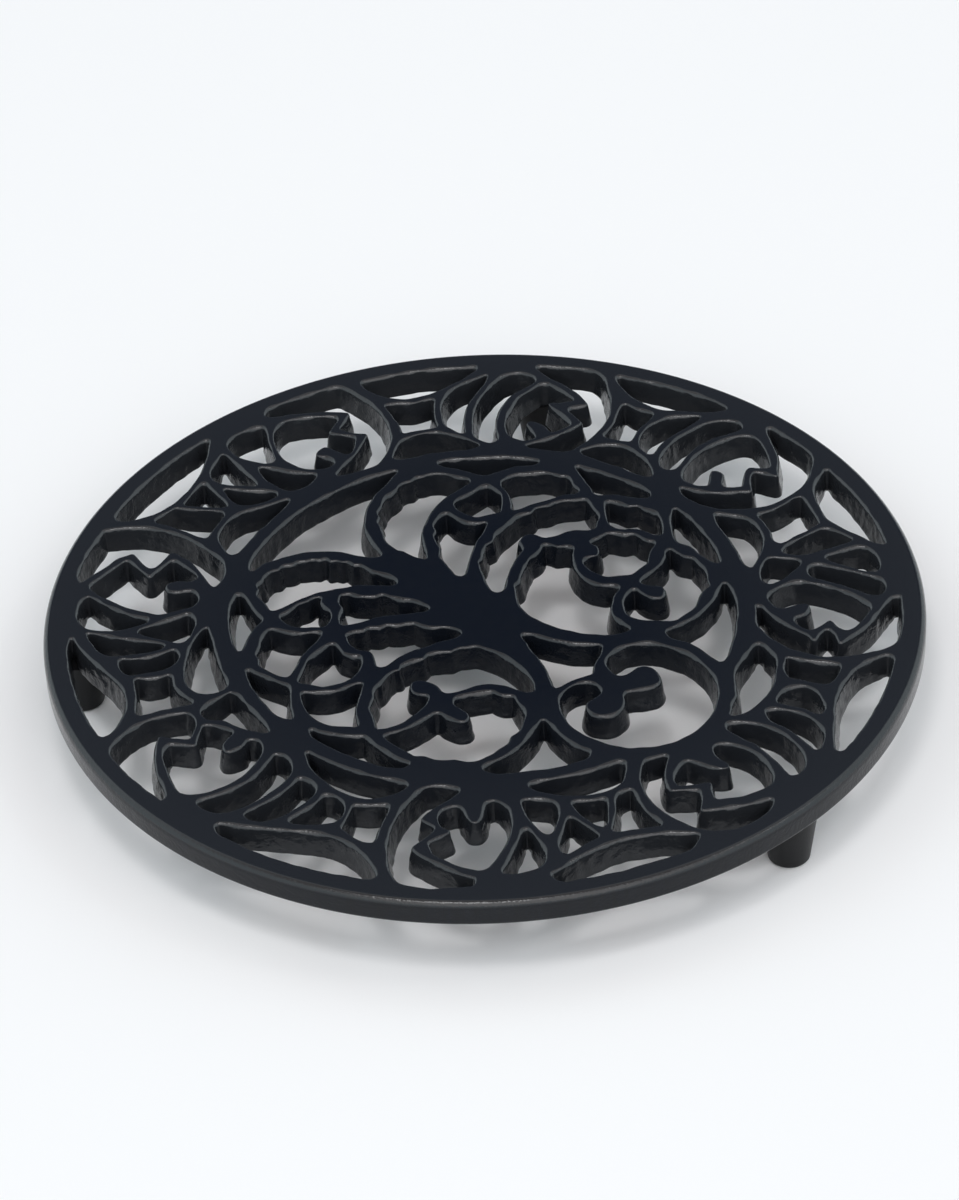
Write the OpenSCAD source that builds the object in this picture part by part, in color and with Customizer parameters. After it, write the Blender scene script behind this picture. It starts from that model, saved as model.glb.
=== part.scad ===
// Round trivet: one openwork iron casting that stands on three black rubber feet.
// The casting's openwork, rim and pegs are a module each and meet face to face.
// The origin is on the table under the middle of the plate, +Z is up,
// and the side that faces the viewer is -Y.

/* [Plate] */
// Diameter of the plate
plate_d = 200; // [180:1:240]
// Thickness of the plate
plate_t = 6; // [4:0.5:9]
// Radius of the rounded top edge of the rim
rim_top_r = 1.5; // [0.5:0.1:2]
// Radius of the rounded bottom edge of the rim
rim_bottom_r = 0.8; // [0.4:0.1:1.5]

/* [Feet] */
// Height of the top face above the table
stand_h = 20; // [18:0.5:30]
// Diameter of a foot where it meets the plate
foot_top_d = 13; // [11:0.5:13.5]
// Diameter of a foot at the table
foot_base_d = 9.5; // [8:0.5:10.5]
// Radius of the rounded bottom edge of a foot
foot_edge_r = 1; // [0.4:0.1:1.5]

/* [Pegs] */
// Diameter of the cast pegs that the feet are pressed on
peg_d = 5; // [4:0.1:6]
// Thickness of rubber left under the end of a peg
foot_floor_t = 4; // [3:0.5:6]
// Height of the cone that guides a peg into its foot
peg_tip_h = 0.8; // [0.3:0.1:1.5]

/* [Hidden] */

// Smoothness of round faces
$fn = 96;
// One overrun serves all cuts
overrun = 1;

plate_r = plate_d / 2;
plate_bottom_z = stand_h - plate_t;
peg_len = plate_bottom_z - foot_floor_t;

// The feet stand under the joins of the border, at these angles clockwise from +Y
foot_right_angle = 136;
foot_left_angle = 269.5;
foot_back_angle = 10.2;
// Radius of the foot circle, in hundredths of the plate's radius
foot_circle_share = 92.3;
foot_circle_r = plate_r * foot_circle_share / 100;

// The rim is turned solid from here outwards, in hundredths of the plate's radius
rim_inner_share = 96.5;
rim_inner_r = plate_r * rim_inner_share / 100;

// Longest straight piece of a curved outline, in hundredths of the plate's radius
facet_share = 4;
// Largest turn from one straight piece to the next, in degrees
turn_step = 20;

// Openings of the border, in eight panels, each turned by 45 degrees from the one before.
// A point is [degrees clockwise from the panel's middle, hundredths of the plate's radius],
// and a third value of 1 marks a sharp corner. The others lie on a smooth curve.
panel_0_shares = [
    [[-16.7, 94.2, 1], [-8, 94.5], [0.7, 94.2, 1], [0.2, 92.6], [-1.7, 89.4], [-3.8, 87.4], [-6, 85.7],
     [-8, 84.5], [-10, 84.1], [-12, 84.7], [-13.6, 86], [-15.3, 88.6], [-16.3, 91.3]],
    [[-14.9, 83.2, 1], [-12.8, 82.9], [-10, 81.9], [-8.2, 82.4], [-6.5, 82.6, 1], [-6.9, 80.2],
     [-7.2, 76], [-7.2, 71.4, 1], [-10, 70.9], [-13.9, 71.1, 1], [-13.9, 75], [-14.3, 79]],
    [[-18.4, 62.3, 1], [-17.1, 64.8], [-15.5, 67.3], [-13.5, 68.7], [-10, 69.4], [-7, 68.9],
     [-4.3, 67.2], [-1.5, 65], [1.3, 62.6, 1], [-1, 61.6], [-10.5, 61.4], [-17, 61.5]],
    [[-3.4, 85.3], [-1.2, 87.8], [2.4, 91, 1], [1.6, 87], [0, 82.3], [-1.4, 77.5],
     [-2, 72.5], [-2.1, 67.7, 1], [-3.3, 68.4], [-5.2, 71.3], [-5.8, 75], [-5.2, 80.8]],
    [[4, 88.8], [5.4, 90.8], [7.2, 91.5], [9.2, 90.4], [9.7, 88.5], [8.5, 86], [6.4, 82.6],
     [5, 79], [4.2, 75], [4.1, 70], [4.5, 64.9, 1], [3, 63.8], [1.2, 64.5], [0, 66.3],
     [-0.2, 71], [0.2, 76.5], [1.2, 81.3], [2.6, 85.4]],
    [[6.9, 77.5], [7.8, 81.8], [9.2, 84.4], [10.6, 87.2], [12, 87.6], [14.1, 85.5],
     [17.2, 82.2, 1], [15.3, 81.2], [13, 79.9], [14, 77.9], [16, 75.6], [18.3, 72.8, 1],
     [17, 70.6], [15.7, 69.2], [14.7, 69.5], [13.7, 71], [12.2, 72.2], [10.8, 72.4],
     [10, 71.4], [10.4, 70], [11.6, 67.8], [12.4, 65.9, 1], [10.6, 64.8], [9.2, 65],
     [7.6, 65.9], [6.5, 68], [6, 72]],
    [[9.2, 94.6, 1], [13.6, 94.8], [18, 94.7], [19.9, 92.3], [21.3, 88.3], [22.9, 83.5], [23.9, 79],
     [24, 75], [23.6, 71], [22.5, 66.8], [21, 63.6], [19, 62.1], [12, 62.1, 1], [11.2, 63.1],
     [14.5, 65.5], [17, 68.2], [18.9, 71], [20.3, 73.9, 1], [18.4, 76.3], [16.4, 78.6, 1],
     [19.8, 81.2, 1], [18.2, 83.8], [16.2, 86.5], [13, 89.3], [10.6, 92]]
];
panel_1_shares = [
    [[-23.5, 94.3, 1], [-16, 94.7], [-8, 94.9], [-5, 94.1, 1], [-6.3, 92], [-8, 89.7], [-10.3, 87.9],
     [-12.8, 86.4], [-15, 85.9], [-18, 87.1], [-20.8, 89.2], [-22.4, 91.7]],
    [[-20, 84.6, 1], [-17.5, 83.5], [-14.3, 83.6, 1], [-14.2, 80], [-14.6, 76.5],
     [-14.1, 71.3, 1], [-16.5, 70.7], [-19.6, 70.9, 1], [-19.3, 76], [-19.9, 81.5]],
    [[-22.2, 63.6, 1], [-20, 66.2], [-17.5, 68], [-14.3, 68.8], [-11.5, 68], [-8.5, 66.6],
     [-6, 64.7], [-4, 62.4, 1], [-6, 61.6], [-12, 61.5], [-18, 61.9], [-21, 62.6]],
    [[-13.3, 78.5], [-12.6, 81], [-11.6, 83.7], [-9.6, 86], [-7.6, 87.8], [-7.3, 86],
     [-7.8, 82], [-8.6, 77.5], [-8.8, 73], [-8.5, 70], [-9.3, 69.2], [-11.2, 70],
     [-12.6, 72.2], [-13.3, 75.3]],
    [[-7.1, 78.5], [-6.4, 82.5], [-5.5, 86.8], [-4, 89.5], [-2, 91.2], [-0.6, 90],
     [-1.3, 86.8], [-2.5, 82.2], [-3.1, 77.5], [-2.7, 73], [-2, 68.6], [-3, 66.7],
     [-5, 67.1], [-6.3, 69.3], [-7.1, 73.5]],
    [[-1.5, 77.5], [-1.1, 80.8], [-0.2, 85.2], [0.8, 87.8], [2.4, 89.2], [4.6, 88.4],
     [7.2, 86.4], [9.8, 84, 1], [8.6, 81.9], [7.5, 80.2], [8.3, 77.9], [9.6, 75.9],
     [10.9, 74.4, 1], [10.1, 72.6], [8.6, 71.3], [7.2, 72.7], [6, 74.2], [4.6, 74.2],
     [3.8, 72.8], [4.9, 70.9], [6.3, 68.6, 1], [5, 66.9], [2.8, 66.3], [0.9, 67.1],
     [-0.5, 69.8], [-1.3, 73.5]],
    [[2.2, 94.5, 1], [6.4, 94.7], [10.4, 94.7], [12.2, 93.5], [14.5, 90], [16.3, 86.6], [17.5, 82.5],
     [18.1, 77.5], [18, 74.6], [17, 71.2], [15.3, 67.2], [13, 64.5], [9.5, 62.4], [6.5, 61.9],
     [4.2, 62.7], [3.2, 63.4, 1], [5.2, 64.4], [8.2, 66.6], [10.6, 69.6], [12.1, 72.7],
     [13.4, 75, 1], [11.4, 76.7], [9.6, 78.6], [9.1, 79.9, 1], [10.5, 81.4], [12.6, 83.1, 1],
     [10.4, 85.8], [8, 88.7], [5, 91.2], [3.2, 92.8]]
];
panel_2_shares = [
    [[-29.9, 94.3, 1], [-23, 94.5], [-16, 94.6], [-10.2, 94.5, 1], [-11.5, 92], [-14, 89], [-16.5, 86.6],
     [-19.5, 85.1], [-22.5, 85.4], [-25.5, 86.8], [-28, 89.6]],
    [[-26.1, 83.5, 1], [-22, 83], [-18.4, 82.5, 1], [-17.3, 78.5], [-16.7, 75],
     [-15.8, 71.8], [-17, 70.6], [-19.5, 71.1], [-22.5, 71.4], [-25.4, 71.3, 1],
     [-25.2, 75], [-25.7, 79], [-26.2, 81.5]],
    [[-30.1, 63.1, 1], [-28, 65.5], [-25.7, 68], [-22.5, 68.9], [-19, 68.5], [-15.5, 66.7],
     [-12.5, 64.7], [-10, 62.5, 1], [-11.5, 61.5], [-15, 61.3], [-21, 61.4], [-26.5, 61.7]],
    [[-13, 87.6, 1], [-14.7, 86], [-16.4, 84], [-17, 82], [-16.4, 79], [-15.6, 75.8],
     [-14.6, 72.5], [-13.2, 70.8, 1], [-11.8, 73.2], [-11.3, 76], [-11.6, 78.5],
     [-12, 81], [-12.4, 84.5], [-12.6, 86.6]],
    [[-10.2, 89.9], [-8.4, 91.1], [-6.3, 91.3], [-4.8, 90.3], [-4.8, 88.3], [-6.3, 84.7],
     [-8, 81.5], [-9.4, 79.9], [-10.1, 80.9], [-10.5, 84.3], [-10.9, 87.6]],
    [[-2.8, 90.3], [-1.4, 91.3], [0.2, 90.8], [0.9, 89.2], [0.1, 86.5], [-1.6, 82.8],
     [-3.3, 79], [-4.3, 76.3], [-5.8, 75], [-7.6, 75.4], [-8.1, 77.3], [-7, 80],
     [-5.4, 84], [-4, 87.5]],
    [[-9.6, 73.7], [-8.2, 72.8], [-6.4, 70.2], [-4.3, 65.9], [-5.5, 64.3], [-8, 64.2],
     [-10.3, 65.3], [-12.1, 67.2], [-11.5, 69.7], [-10.6, 72.3]],
    [[-3.6, 73], [-2.6, 76.2], [-1.2, 79.8], [0, 82.3], [1.5, 84.8], [3, 86.9],
     [4.2, 87.5], [5.8, 86.2], [7.6, 84.9], [9.3, 82.6], [8.6, 80.4], [7.1, 78.4],
     [8.4, 76.6], [9.8, 74.1], [9.2, 72], [7.6, 70.6], [6.5, 71], [5.6, 73], [4.2, 73.9],
     [2.7, 73.3], [2.6, 71], [3.5, 68], [2.8, 65.8], [0.6, 64.7], [-1.3, 65.6],
     [-2.8, 68], [-3.7, 70.8]],
    [[1.5, 94.2, 1], [5.5, 94.5], [9.5, 94.4], [11.5, 93.4], [13.2, 90.6], [14.8, 86.5], [15.9, 82],
     [16.4, 77.5], [16, 73], [14.8, 69], [12.6, 65.5], [10, 63], [6.5, 61.9],
     [3.1, 61.9, 1], [3.4, 63], [5.2, 64.3], [7.6, 66.7], [9.7, 70], [11.5, 73.7],
     [13.1, 75.7, 1], [11, 76.6], [9.1, 78, 1], [10.8, 79.8], [13.1, 81.3, 1], [12, 82.7],
     [10.2, 84.8], [7.5, 87.6], [4, 90.2], [1.7, 92.6]]
];
panel_3_shares = [
    [[-29.7, 94.1], [-30.5, 92.8], [-30, 91], [-28.5, 88.7], [-26.5, 86.7], [-24, 85.7],
     [-21, 85.5], [-18, 86.1], [-15, 87.9], [-12, 90.1], [-9.5, 92.6], [-9.2, 93.8],
     [-10, 94.6], [-15, 94.6], [-20, 94.5], [-25, 94.4]],
    [[-26.9, 82.4], [-26, 83.1], [-23.7, 82.9], [-22.2, 81.8], [-21.6, 79], [-21.7, 75.5],
     [-21.6, 73.2], [-24, 71.2], [-26.8, 70.5, 1], [-26.6, 74.5], [-26.8, 79]],
    [[-29.5, 63.6], [-28.2, 65.8], [-26, 68.2], [-23.4, 69.2], [-20.5, 70.2], [-17, 70.7],
     [-13.5, 70.6], [-10.2, 69.8], [-7.6, 68.2], [-7.5, 67.2], [-10, 65.9], [-13, 65],
     [-15.5, 63.5], [-18, 61.9], [-21, 61.2], [-25, 61.8], [-28.3, 62.5]],
    [[-15.2, 84.4], [-16.8, 83.9], [-18.4, 82.2], [-19.7, 80], [-20.1, 77.5], [-19.3, 75.3],
     [-17.7, 73.9], [-15.6, 73.5], [-14.6, 74.4], [-14.7, 77], [-15, 80], [-14.8, 83.2]],
    [[-8.3, 89.8], [-7.7, 88.9], [-8.3, 86], [-9.1, 82.5], [-9.6, 79], [-9.9, 76],
     [-10.7, 74.2], [-11.7, 73.5], [-12.8, 75.2], [-13.4, 78], [-13.6, 81], [-13, 84],
     [-11.9, 86.8], [-10.2, 88.9]],
    [[-2.2, 90.9], [-1.1, 89.7], [-1.9, 86], [-2.9, 81.5], [-3.4, 77.5], [-3.4, 73],
     [-3.7, 69.8], [-4.9, 68.8], [-6.2, 70.2], [-7.4, 73], [-8, 76.5], [-7.9, 80],
     [-7.2, 83.7], [-6, 87.3], [-4.3, 90]],
    [[-1.5, 77.5], [-1.3, 80.5], [-0.6, 83.8], [0.5, 86.8], [2, 88.6], [4, 88.5],
     [7, 87], [10.2, 84.3, 1], [9.3, 81.8], [8.4, 79.5], [10.2, 77.9], [13, 76.2, 1],
     [12.6, 74.2], [11.3, 72.2], [9.5, 71], [7.8, 70.6], [6.9, 72.5], [6.2, 75.2],
     [5, 77.6], [3.8, 78.4], [3.1, 76.5], [2.9, 73.5], [2, 71.4], [0.6, 71.4], [-0.8, 73.8]],
    [[4.2, 92.6, 1], [6.8, 94.7], [11, 94.8], [13.3, 93.4], [15.3, 90.8], [16.9, 86.8],
     [18, 82.5], [18.5, 77.5], [18.2, 73], [17, 69], [15.4, 66.3], [13.7, 64.9],
     [11.5, 65.3], [9.2, 66.3, 1], [11.3, 68.3], [13.4, 71.3], [14.6, 74.3], [14.9, 76.3, 1],
     [13, 77.8], [11.1, 79.8, 1], [12, 82.5], [13.7, 85.6, 1], [11.2, 87.6], [8, 90.1]]
];
panel_4_shares = [
    [[-28.4, 91.7], [-27.2, 93.8], [-26, 94.7], [-20, 94.7], [-14.5, 94.7], [-9, 94.6],
     [-7.8, 93.6], [-7.2, 92, 1],
     [-9.5, 90.1], [-12, 88], [-15, 86.5], [-18.4, 85.7], [-21.5, 86.4], [-24.5, 87.8],
     [-26.8, 89.9]],
    [[-25.1, 85, 1], [-22.5, 83.8], [-19.5, 83], [-17.9, 82.2, 1], [-18.9, 79.7],
     [-20.2, 76.5], [-21.3, 73.2], [-22.7, 71.4], [-24.9, 71.4, 1], [-24.5, 75.5],
     [-24.4, 79.5], [-24.8, 82.5]],
    [[-27.3, 63], [-25.9, 66], [-24, 68.3], [-21.5, 69.2], [-18, 69.1], [-15, 68.2],
     [-12, 66.7], [-9, 64.5], [-6.7, 62.1, 1], [-10, 61.5], [-16, 61.6], [-21, 61.8], [-26.5, 61.9]],
    [[-17.7, 79.4], [-16.9, 79.8], [-15.8, 78.3], [-14.8, 75.5], [-14.2, 72.5],
     [-14, 70, 1], [-17, 71], [-19.9, 71.7, 1], [-19.3, 74.2], [-18.5, 77.2]],
    [[-15.8, 82.9, 1], [-13.5, 83.9], [-10.4, 86], [-9.6, 85.3], [-9.7, 82.8],
     [-10.6, 79.5], [-11.7, 76.2], [-12.6, 74.9], [-13.6, 76.3], [-14.9, 79.6]],
    [[-9.4, 77.9], [-8.4, 78.9], [-7.5, 78], [-6.6, 75.5], [-5.9, 72.5], [-5.1, 66.7, 1],
     [-7.5, 67.1], [-10.6, 68.6], [-11.2, 71], [-10.6, 74.3]],
    [[-6.4, 88], [-5, 89.6], [-3, 90.2], [-1.1, 90], [-1, 88.8], [-2, 85.5], [-3.3, 81],
     [-4.6, 77.1], [-5.3, 76.7], [-6.2, 79], [-7, 83.5], [-7, 86.2]],
    [[-2.8, 73], [-2.5, 76.5], [-1.8, 79.8], [-0.3, 84.3], [1, 87.6], [2.6, 88.7],
     [4.7, 87.6], [7.5, 85.4], [9.3, 83.7], [10.2, 80.4, 1], [8.6, 78.5], [6.8, 76.4, 1],
     [8.6, 75], [9.6, 72.5], [9.2, 69.8], [7.6, 68.3], [6.2, 68.4], [5, 71], [3.9, 73.3],
     [2.7, 73.3], [1.8, 70.8], [1.3, 67.2], [-0.3, 66.4], [-2, 68.2], [-2.7, 70]],
    [[2.9, 91.6, 1], [3.1, 93.8, 1], [8.5, 94.7], [12, 94.2], [13.5, 92.8], [15, 88.7],
     [16.2, 82.8], [16.7, 76.5], [16.3, 70.8], [15, 66], [13.5, 62.7], [10.7, 61.7],
     [6.4, 62.5, 1], [7.9, 64.7], [10, 68], [11.8, 70.8], [12.6, 73.3, 1], [9.8, 75.4, 1],
     [10.6, 78], [11.8, 80.3], [12.6, 82.8], [11, 84.9], [8, 87.6], [5, 90.2]]
];
panel_5_shares = [
    [[-28.7, 92.5], [-28.1, 93.7], [-26.5, 94], [-21, 94.3], [-15, 94.4], [-10.5, 94.3],
     [-6.5, 94], [-4.6, 92.9],
     [-4.6, 91.5], [-7, 89.8], [-10.5, 87.4], [-14, 85.3], [-17.5, 83.8], [-20.3, 83.4],
     [-23, 84.4], [-25.7, 86.8], [-27.8, 90]],
    [[-26.3, 82.2], [-24.9, 82.6], [-22.5, 81.4], [-20.7, 79.8, 1], [-20.5, 76.5],
     [-20.2, 72.3, 1], [-23, 71.2], [-26, 70, 1], [-26.4, 74], [-26.3, 79]],
    [[-27.7, 62.9], [-26.3, 65.3], [-24.3, 67.5], [-22, 69], [-19.3, 69.4], [-16.5, 69],
     [-13.5, 68], [-10.5, 66.8], [-7.5, 64.9], [-4, 61.8, 1], [-10, 61.8], [-18, 62],
     [-26.8, 62]],
    [[-19.5, 77], [-18.8, 79], [-17, 80.6], [-14.8, 82.1], [-12.8, 82.5], [-13, 80],
     [-14, 76.3], [-14.4, 71.7, 1], [-16, 71.2], [-18, 72.2], [-19.2, 74.3]],
    [[-12.3, 76.3], [-11.5, 79.8], [-10.5, 83.2], [-9, 85.7], [-7.3, 86.6], [-6.1, 85.9],
     [-6.5, 83], [-7.3, 79.5], [-7.9, 75.5], [-8, 69.6, 1], [-10, 69.5], [-11.8, 70.7],
     [-12.6, 73.3]],
    [[-6.2, 73], [-6, 77], [-5.5, 81.5], [-4.5, 85.5], [-3.2, 88.3], [-1.2, 89.8],
     [0.7, 89.6], [0.9, 88.2], [-0.3, 84], [-1.2, 79.5], [-1.5, 75.2], [-0.9, 71.2],
     [0.1, 66.9, 1], [-1.5, 66], [-3.8, 66.9], [-5.5, 68.8], [-6.1, 70.8]],
    [[0.4, 77], [0.5, 80.5], [1.2, 84], [2.6, 87.5], [4.4, 89.5], [6.5, 88.8],
     [9.5, 87.1], [12, 85.8], [13.6, 83.9], [14.2, 82.2, 1], [13, 80.2], [11.3, 77.7, 1],
     [13, 75.8], [15.4, 72.8, 1], [14.2, 71], [12.2, 69.5], [10.6, 68.9], [9.8, 71],
     [8.7, 73.2], [7.2, 74], [6.3, 72.8], [6.1, 70], [6.7, 67.8], [5.6, 66.4],
     [3.7, 66.9], [2, 69.3], [0.9, 73]],
    [[4.9, 94.2, 1], [10.8, 94.6], [16.8, 94.7], [18.3, 93.2], [19.6, 89.8], [20.6, 86], [21.1, 82],
     [20.9, 79], [20.3, 75.7], [19.6, 73.9], [17.8, 73.4], [15.6, 74.7], [13.6, 77.5, 1],
     [15.6, 80.6], [17, 82.8, 1], [14.8, 85.5], [12, 88], [9, 90.3], [6.2, 91.9],
     [5.2, 92.9]],
    [[5.7, 62.7, 1], [7.5, 64.1], [10, 65.9], [12.5, 67], [14.4, 68], [15.5, 69.8],
     [16.6, 71.1], [18.2, 71.4], [19.3, 70.5], [20.4, 67.5], [21.5, 62.6, 1], [20, 61.6],
     [14, 61.4], [8, 61.9]]
];
panel_6_shares = [
    [[-24.1, 93.4], [-23.4, 94.3], [-18, 94.5], [-12, 94.6], [-8, 94.6],
     [-4, 94.5], [-1.6, 93.6, 1], [-5, 91.3],
     [-8.5, 88.6], [-12, 85.9], [-15.5, 84.5], [-18.5, 85.1], [-21, 87.1], [-23.3, 90.5]],
    [[-22.1, 84.5, 1], [-20, 83.1], [-17.5, 82], [-13.1, 81.1, 1], [-13.9, 78.5],
     [-14.2, 75.5], [-13.9, 72.9, 1], [-17, 73.4], [-19.3, 73], [-21.2, 72.1],
     [-23.2, 71.2, 1], [-22.7, 74.5], [-22.3, 78]],
    [[-22.3, 65.5], [-21.8, 67.4], [-20.6, 69], [-18.5, 70.2], [-16, 70.3], [-12.5, 69],
     [-8.5, 67.5], [-5, 65.9], [-2, 63.9], [-1.2, 62.8, 1], [-5, 62.1], [-13, 61.9],
     [-20.5, 62.2], [-22, 63.3]],
    [[-12.3, 74.5], [-12.3, 78], [-12.1, 81.3], [-11, 83], [-9.3, 83.5], [-7.8, 83.1, 1],
     [-8.3, 80.5], [-8.4, 76.5], [-7.8, 73.5], [-7, 70.5, 1], [-9, 70], [-11, 71.2]],
    [[-6.8, 75.5], [-7, 79.5], [-6.9, 83.5], [-5.8, 86.8], [-3.5, 88.7], [-1.1, 89.8],
     [-1.3, 87.7], [-2.4, 83.8], [-3.7, 78.3], [-4.8, 74], [-5.6, 72.8], [-6.5, 73.7]],
    [[-1.6, 78.3], [-0.6, 77.7], [0.4, 74.7], [1.8, 70.9], [3.4, 67.2, 1], [1.5, 65.8],
     [-1, 65.8], [-3.5, 66.7], [-5, 68.5], [-4.7, 71], [-3, 75.2]],
    [[-0.4, 83], [-0.5, 86.5], [0.2, 89.9], [1.8, 92], [4.5, 92.6], [6.8, 92], [7.5, 90.6],
     [6, 87.3], [4.3, 83.5], [2.9, 79.8], [2, 76.7], [1.1, 76.8], [0.1, 79.3]],
    [[3.5, 74.3], [4.2, 78], [5.6, 82.5], [7.2, 86.5], [8.8, 89.9], [10.1, 91.1],
     [11.7, 89.8], [14.2, 87.6], [17, 85.3, 1], [15.3, 82], [13.2, 78.3, 1], [15.8, 76.7],
     [18.8, 75, 1], [17.8, 72.5], [16.4, 69.5], [14.8, 67.5], [13.7, 68.4], [13.3, 71],
     [12.4, 73.3], [11.1, 74], [9.8, 73], [9.7, 70.5], [10.5, 67.8], [9, 66],
     [7.3, 65.7], [5.5, 67.2], [4.3, 70], [3.6, 72.5]],
    [[10.8, 93.7], [12.5, 94.8], [17, 94.9], [22.6, 94.3, 1], [24, 90.8], [25.2, 86.2],
     [25.7, 81], [25.5, 76.5], [24.4, 71.8], [22.6, 67], [20.5, 63.4], [17.5, 62.1],
     [14.5, 61.9], [12.4, 62.9], [14.5, 65.3], [17.3, 68.2], [19.6, 71.5], [20.7, 74.8],
     [20.6, 76.5, 1], [18.3, 77.1], [16.2, 78.2], [15.9, 79.6], [17.2, 82],
     [18.9, 84.8, 1], [17.3, 87.4], [14.8, 89.6], [12.4, 92.2]]
];
panel_7_shares = [
    [[-19.4, 92.5], [-18.7, 94.3], [-14.5, 94.6], [-10, 94.7], [-4, 94.8],
     [1.5, 94.7], [2.9, 94.3, 1], [0.7, 91],
     [-2, 88], [-5, 85.8], [-8.5, 84.6], [-11.5, 84.5], [-14.5, 85.5], [-17, 87.7],
     [-18.9, 90.5]],
    [[-17.6, 85.1, 1], [-15.8, 84.4], [-13.2, 83.1, 1], [-12.5, 80], [-11.6, 77],
     [-10.3, 73], [-11.2, 71.4], [-14, 71.1], [-18.2, 70.9, 1], [-18.3, 73],
     [-17.9, 77], [-17.7, 81]],
    [[-21.1, 63], [-20.2, 65], [-18, 67.6], [-15.5, 69], [-11.5, 69.4], [-8.3, 68.4],
     [-5, 66.1], [-2, 64.5], [1.1, 63.1, 1], [-1.5, 62.3], [-4, 61.5], [-12, 61.4],
     [-19.8, 61.6]],
    [[-12, 82.1, 1], [-8.5, 82.9], [-5.4, 83.4, 1], [-6.2, 79.8], [-7.3, 75.6], [-8.3, 73.3],
     [-9.3, 74.2], [-10.8, 77.8]],
    [[-4.8, 78, 1], [-3.8, 75.6], [-2.2, 72.1], [-0.3, 69.2], [0.4, 67.4], [-0.6, 66.2],
     [-3, 66.9], [-5.6, 68.8], [-6.7, 71], [-6.3, 74.2]],
    [[-3.7, 82.5], [-2.5, 84.8], [0, 86.4], [1.9, 87.4], [1.7, 84], [0.9, 79],
     [0.3, 74.5], [-0.5, 73], [-1.7, 74.8], [-3.1, 77.8], [-3.8, 80.2]],
    [[3.6, 77.5, 1], [4.8, 75.3], [6.8, 70.8], [8.9, 67.8], [10, 66.2], [8.4, 64.8],
     [6, 64.4], [3.2, 65], [2.1, 68], [2.2, 73], [2.8, 75.8]],
    [[3.3, 86.4], [3.9, 89.2], [6, 90.9], [8.5, 90.7], [10.6, 89.6], [10.4, 87.3],
     [9.1, 83.6], [7.7, 79], [6.7, 76.9], [5.1, 78], [4, 80.8], [3.3, 84]],
    [[8.4, 75], [8.7, 78.5], [9.7, 82], [11.2, 85.7], [12.8, 87.4], [14.6, 88.1],
     [17, 86.9], [19.8, 85.1], [21.5, 83.4], [21.3, 81.8], [18.5, 78.5, 1], [20.4, 76.2],
     [22.3, 74, 1], [21.3, 71.2], [19.6, 68.8], [18.4, 69.2], [17.4, 71.6], [16.3, 73.9],
     [14.6, 73.6], [13.6, 72.2], [14.8, 69.9], [15.1, 67.3], [13, 66.9], [10.4, 68.6],
     [9, 71.5]],
    [[12.8, 93], [14, 94.7], [19.2, 94.8], [24.4, 94.7], [25.5, 93.6], [27, 88.8], [28.3, 84],
     [29, 78], [28.8, 73], [27.7, 68.3], [25.5, 64.3], [22.5, 61.8], [16, 61.8],
     [13.2, 62.9, 1], [16.5, 65.2], [19.7, 67.2], [22.8, 70.6], [24.9, 73.7, 1],
     [22.8, 75.6], [20.7, 78.4, 1], [22.6, 80.6], [24.3, 83.3, 1], [22.6, 85.2],
     [19.5, 87.5], [16, 90], [13.7, 91.6]]
];
panel_shares = [
    panel_0_shares, panel_1_shares, panel_2_shares, panel_3_shares,
    panel_4_shares, panel_5_shares, panel_6_shares, panel_7_shares
];

// Openings of the medallion, as [across, away from the viewer] from the plate's middle,
// in hundredths of the plate's radius, with a third value of 1 at a sharp corner.
// Big crescent and plain slots at the upper left
crescent_shares = [
    [[-18.4, 54.3, 1], [-20, 52.4], [-21.6, 49.2], [-24.2, 45.2], [-26, 40.6], [-26.8, 35],
     [-26.4, 30.5], [-24.8, 26], [-22.7, 21.8, 1], [-25.2, 21.8], [-28.2, 22.8],
     [-32, 24.3], [-37, 25], [-42, 24.5], [-46.4, 23], [-50, 21.3], [-53, 18.4, 1],
     [-53, 21.5], [-51, 26.5], [-48.2, 31.5], [-45, 36], [-41, 40.8], [-37, 44.2],
     [-32, 48], [-27.2, 51], [-23, 53]],
    [[-9.2, 56.4, 1], [-7.6, 57.1], [-4, 57.4], [2, 57.5], [7.5, 57.3], [10, 56.7],
     [12.5, 56], [15.2, 55.1, 1], [12.5, 54.1], [9, 53.7], [6, 52.8], [3.8, 51.7],
     [2, 51.2, 1], [0, 51.6], [-2.5, 52.9], [-4.5, 53.9], [-6.8, 54.7]],
    [[-55.8, 10.5, 1], [-54.4, 8.8], [-53.3, 6.2], [-52, 3.2], [-50.4, 0.4, 1], [-52, -2],
     [-53.4, -5.2], [-54.4, -8.2], [-55.4, -11, 1], [-56.4, -8.6], [-57.2, -5],
     [-57.6, -1], [-57.7, 3], [-57.2, 7]],
    [[-53.6, -17.2, 1], [-52.2, -18.4], [-49.2, -20.5], [-46, -22.6], [-44.4, -23.9],
     [-44.1, -27], [-44, -31], [-43.5, -35.4, 1], [-45.4, -34.6], [-47.8, -32.4],
     [-49.4, -29.6], [-51, -26.6], [-52.4, -23.2], [-53.4, -20]],
    [[-39.6, -39, 1], [-37.8, -40.2], [-35.4, -41], [-32.4, -42], [-29.6, -42.5],
     [-27.8, -42.5, 1], [-26, -45], [-23.4, -48], [-20.8, -50.6], [-18, -52.5, 1],
     [-19.4, -53.6], [-21.4, -53.6], [-24.4, -52.5], [-28.6, -50], [-32.4, -47.5],
     [-35.4, -45.2], [-38.2, -42.6], [-39.2, -41]]
];
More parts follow.
